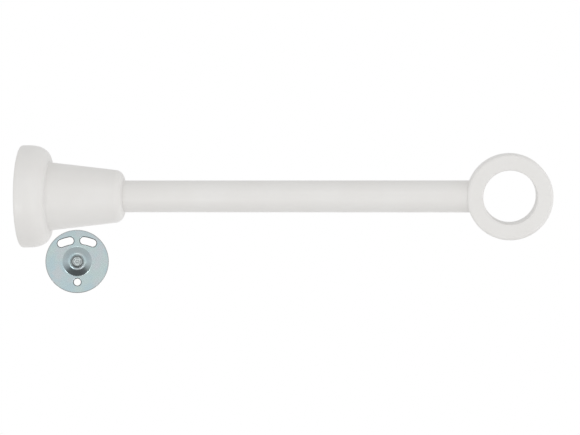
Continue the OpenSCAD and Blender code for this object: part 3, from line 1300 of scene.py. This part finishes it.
    def _cross(self, head_z: float) -> BMesh:
        """The cutter for the screwdriver's cross, which narrows as it goes in."""
        bm = bmesh.new()
        bmesh.ops.create_grid(bm, x_segments=3, y_segments=3, size=self.cross_r)
        third = self.cross_r / 3
        corners = [face for face in bm.faces
                   if min(map(abs, face.calc_center_median().to_2d())) > third]
        bmesh.ops.delete(bm, geom=corners, context="FACES")
        for vert in bm.verts:
            vert.co.xy = [math.copysign(self.cross_half_w, v) if abs(v) < 2 * third else v
                          for v in vert.co.xy]
        bmesh.ops.translate(bm, vec=(0, 0, head_z - self.cross_over), verts=bm.verts)
        grown = bmesh.ops.extrude_face_region(bm, geom=bm.faces[:])["geom"]
        for vert in (item for item in grown if isinstance(item, BMVert)):
            across = vert.co.to_2d() * self.cross_taper
            vert.co = Vector((*across, head_z + self.cross_depth))
        return bm


# ---------------------------------------------------------------- studio


@dataclass(frozen=True)
class Softbox:
    """A large soft light, placed by its direction from the object."""

    name: str
    azimuth_deg: float
    elevation_deg: float
    distance: float
    size: float
    brightness: float
    in_reflections: bool = True

    def light(self, aim: Vector) -> None:
        """Hangs the light and points it at the object.

        Args:
            aim: the point that it lights.
        """
        lamp = bpy.data.lights.new(self.name, "AREA")
        lamp.shape, lamp.size = "DISK", self.size
        lamp.energy = self.brightness * math.pi * math.pi * self.size ** 2 / 4
        holder = link_object(self.name, lamp)
        back = towards(self.azimuth_deg, self.elevation_deg)
        holder.location = aim + back * self.distance
        holder.rotation_mode = "QUATERNION"
        holder.rotation_quaternion = back.to_track_quat("Z", "Y")
        holder.visible_camera = False
        holder.visible_glossy = self.in_reflections


def towards(azimuth_deg: float, elevation_deg: float) -> Vector:
    """The direction from the object to a place round it: azimuth 0 is the front, 90 is +X."""
    a, e = math.radians(azimuth_deg), math.radians(elevation_deg)
    return Vector((math.sin(a) * math.cos(e), -math.cos(a) * math.cos(e), math.sin(e)))


@dataclass(frozen=True)
class Studio:
    """A white studio: a pale floor, an even white surround, soft lights and the camera."""

    aim: Triple = (0.15259, 0.0, -0.01192)
    azimuth_deg: float = 3.366
    elevation_deg: float = 4.289
    roll_deg: float = -0.212
    distance: float = 1.275726
    lens: float = 140.32
    sensor: float = 36.0
    clip: Corner = (0.05, 60.0)
    floor_z: float = -0.16
    floor_size: float = 40.0
    surround: tuple[Corner, ...] = (
        (0.0, 0.14), (0.13, 0.16), (0.27, 0.57), (0.42, 0.80), (0.52, 0.90), (0.62, 0.83),
        (0.80, 0.77), (1.0, 0.76))
    lift_behind: float = 0.25
    softboxes: tuple[Softbox, ...] = (
        Softbox("upper_box", 6.0, 34.0, 1.6, 0.6, 1.2),
        Softbox("lower_left_box", -21.0, -21.0, 1.6, 0.38, 5.5),
        Softbox("lower_right_box", 29.0, -20.0, 1.6, 0.38, 5.5),
        Softbox("right_fill", 86.0, 0.0, 1.6, 1.6, 0.54, in_reflections=False),
        Softbox("floor_fill", 0.0, -90.0, 1.2, 4.0, 0.60, in_reflections=False),
    )

    def build(self) -> None:
        """Makes everything in the studio."""
        bpy.context.scene.view_settings.view_transform = "Standard"
        self._floor()
        self._world()
        for box in self.softboxes:
            box.light(Vector(self.aim))
        self._camera()

    def _floor(self) -> None:
        """Lays the pale floor, which the lights and reflections pass through."""
        bm = bmesh.new()
        bmesh.ops.create_grid(bm, x_segments=1, y_segments=1, size=self.floor_size / 2)
        bmesh.ops.translate(bm, vec=(0, 0, self.floor_z), verts=bm.verts)
        mesh = new_mesh("floor", bm)
        material = bpy.data.materials.new("pale_floor")
        graph = Graph.of(material)
        glow = graph.add("Emission", {"Color": WHITE, "Strength": 1.0})
        graph.add("OutputMaterial", {"Surface": glow.outputs[0]})
        mesh.materials.append(material)
        floor = link_object("floor", mesh)
        floor.visible_diffuse = floor.visible_glossy = floor.visible_shadow = False

    def _world(self) -> None:
        """Makes the surround: white behind the object, and softer where it lights it."""
        world = bpy.data.worlds.new("surround")
        bpy.context.scene.world = world
        graph = Graph.of(world)
        way = graph.add("SeparateXYZ", {0: graph.add("TexCoord").outputs["Generated"]})
        share = graph.math("ADD", graph.math("MULTIPLY", way.outputs["Z"], 0.5), 0.5)
        behind = graph.math("MAXIMUM", way.outputs["Y"], 0.0)
        share = graph.math("ADD", share, graph.math("MULTIPLY", behind, self.lift_behind))
        ramp = graph.add("ValToRGB", {0: share})
        ramp.color_ramp.interpolation = "EASE"
        stops = ramp.color_ramp.elements
        for position, _ in self.surround[len(stops):]:
            stops.new(position)
        for stop, (position, level) in zip(stops, self.surround):
            stop.position, stop.color = position, (level, level, level, 1.0)
        lit = graph.add("Background", {"Color": ramp.outputs[0], "Strength": 1.0})
        seen = graph.add("Background", {"Color": WHITE, "Strength": 1.0})
        ray = graph.add("LightPath").outputs["Is Camera Ray"]
        both = graph.add("MixShader", {0: ray, 1: lit.outputs[0], 2: seen.outputs[0]})
        graph.add("OutputWorld", {"Surface": both.outputs[0]})

    def _camera(self) -> None:
        """Sets up the camera."""
        back = towards(self.azimuth_deg, self.elevation_deg)
        a, roll = math.radians(self.azimuth_deg), math.radians(self.roll_deg)
        right = Vector((math.cos(a), math.sin(a), 0.0))
        up = back.cross(right)
        right, up = (right * math.cos(roll) + up * math.sin(roll),
                     up * math.cos(roll) - right * math.sin(roll))
        lens = bpy.data.cameras.new("camera")
        lens.lens, lens.sensor_width = self.lens, self.sensor
        lens.clip_start, lens.clip_end = self.clip
        holder = link_object("camera", lens)
        turn = Matrix((right, up, back)).transposed().to_4x4()
        holder.matrix_world = Matrix.Translation(Vector(self.aim) + back * self.distance) @ turn
        bpy.context.scene.camera = holder


def main() -> None:
    """Builds the studio and every piece in turn."""
    logging.basicConfig(level=logging.INFO, format="%(name)s %(message)s")
    Studio().build()
    effects = EffectLibrary()
    for assembly in (TurnedBase(), Stem(), Insert(), PoleRing(), LoosePlate()):
        LOG.info("building %s", type(assembly).__name__)
        assembly.build(effects)


if __name__ == "__main__":
    main()
